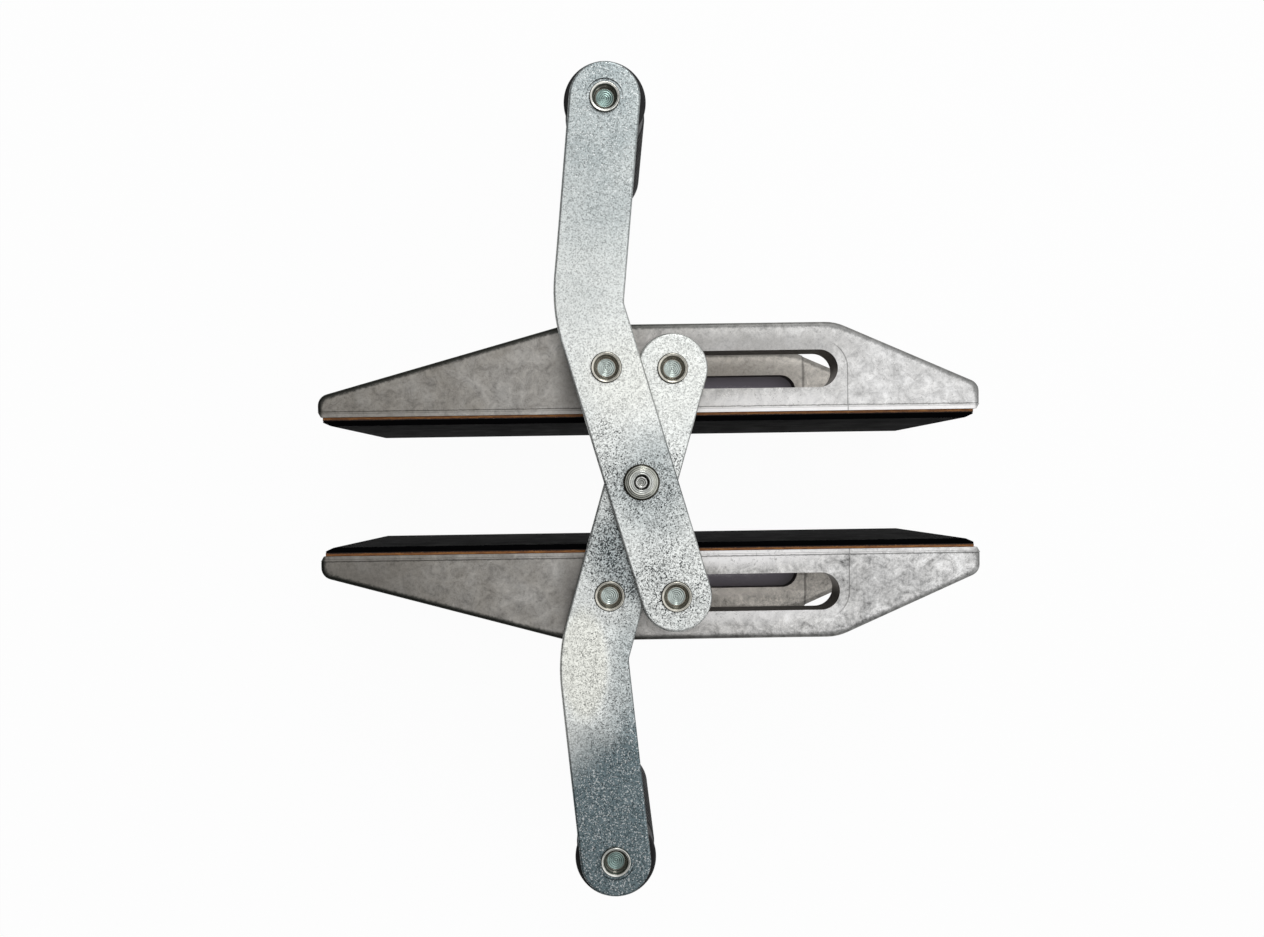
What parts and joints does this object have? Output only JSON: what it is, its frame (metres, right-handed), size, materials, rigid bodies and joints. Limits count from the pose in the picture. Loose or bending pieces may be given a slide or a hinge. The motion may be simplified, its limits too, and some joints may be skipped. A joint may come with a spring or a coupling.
{
  "type": "slab carry clamp",
  "caption": "Two-handed scissor carry clamp for slabs: cast channel jaws with rubber pads, crossed steel arms, slotted guides and rubber grips.",
  "frame": {"origin": "middle of the outline on the face the clamp lies on, the jaws' backs", "axes": "+X along the jaws towards the slots' far ends, +Y across the grip gap towards the jaw whose pivot carries the front arm, +Z along the pins from the jaws' backs to the arms"},
  "size_m": [0.3278, 0.41, 0.133],
  "materials": {
    "cast_jaw": "as cast, dull",
    "pad_backing": "brown canvas ply, matt",
    "pad_rubber": "black, matt",
    "zinc_arm": "blasted and zinc plated",
    "spring_clip": "blackened spring steel",
    "roller": "natural nylon",
    "grip_rubber": "black, moulded",
    "handle_rod": "turned and zinc plated",
    "bush": "turned bronze",
    "screw": "zinc plated",
    "washer": "zinc plated",
    "pin": "turned and zinc plated"
  },
  "bodies": {
    "upper_jaw": {"upper_jaw_casting": "cast_jaw", "upper_pad_backing": "pad_backing", "upper_rubber_pad": "pad_rubber"},
    "front_arm": {"front_arm": "zinc_arm", "upper_pivot_pin": "pin", "upper_pivot_inner_washer": "washer", "upper_pivot_clip": "spring_clip", "upper_pivot_spacer": "washer", "lower_slide_pin": "pin", "lower_slide_spacer": "washer", "lower_front_roller_clip": "spring_clip", "lower_rear_roller_clip": "spring_clip", "upper_handle_rod": "handle_rod", "upper_grip": "grip_rubber"},
    "rear_arm": {"rear_arm": "zinc_arm", "lower_pivot_pin": "pin", "lower_pivot_inner_washer": "washer", "lower_pivot_clip": "spring_clip", "lower_pivot_washer": "washer", "upper_slide_pin": "pin", "upper_slide_washer": "washer", "upper_front_roller_clip": "spring_clip", "upper_rear_roller_clip": "spring_clip", "centre_bush": "bush", "centre_screw": "screw", "lower_handle_rod": "handle_rod", "lower_grip": "grip_rubber"},
    "lower_jaw": {"lower_jaw_casting": "cast_jaw", "lower_pad_backing": "pad_backing", "lower_rubber_pad": "pad_rubber"},
    "upper_front_roller": {"upper_front_roller": "roller"},
    "upper_rear_roller": {"upper_rear_roller": "roller"},
    "lower_front_roller": {"lower_front_roller": "roller"},
    "lower_rear_roller": {"lower_rear_roller": "roller"}
  },
  "joints": [
    {"name": "clamp_close", "type": "hinge", "parent": "upper_jaw", "child": "front_arm", "pos_m": [-0.0209, 0.0552, 0], "axis": [0, 0, 1], "range_deg": [0, 47.5]},
    {"name": "arms_cross", "type": "hinge", "parent": "front_arm", "child": "rear_arm", "pos_m": [-0.0048, 0, 0], "axis": [0, 0, 1], "range_deg": [-95, 0]},
    {"name": "lower_jaw_pivot", "type": "hinge", "parent": "rear_arm", "child": "lower_jaw", "pos_m": [-0.0209, -0.0552, 0], "axis": [0, 0, 1], "range_deg": [0, 47.5]},
    {"name": "upper_front_roller_spin", "type": "hinge", "parent": "rear_arm", "child": "upper_front_roller", "pos_m": [0.0113, 0.0552, 0], "axis": [0, 0, 1], "continuous": true},
    {"name": "upper_rear_roller_spin", "type": "hinge", "parent": "rear_arm", "child": "upper_rear_roller", "pos_m": [0.0113, 0.0552, 0], "axis": [0, 0, 1], "continuous": true},
    {"name": "lower_front_roller_spin", "type": "hinge", "parent": "front_arm", "child": "lower_front_roller", "pos_m": [0.0113, -0.0552, 0], "axis": [0, 0, 1], "continuous": true},
    {"name": "lower_rear_roller_spin", "type": "hinge", "parent": "front_arm", "child": "lower_rear_roller", "pos_m": [0.0113, -0.0552, 0], "axis": [0, 0, 1], "continuous": true}
  ],
  "couplings": [
    {"joint": "arms_cross", "follows": "clamp_close", "ratio": -2},
    {"joint": "lower_jaw_pivot", "follows": "clamp_close", "ratio": 1}
  ]
}
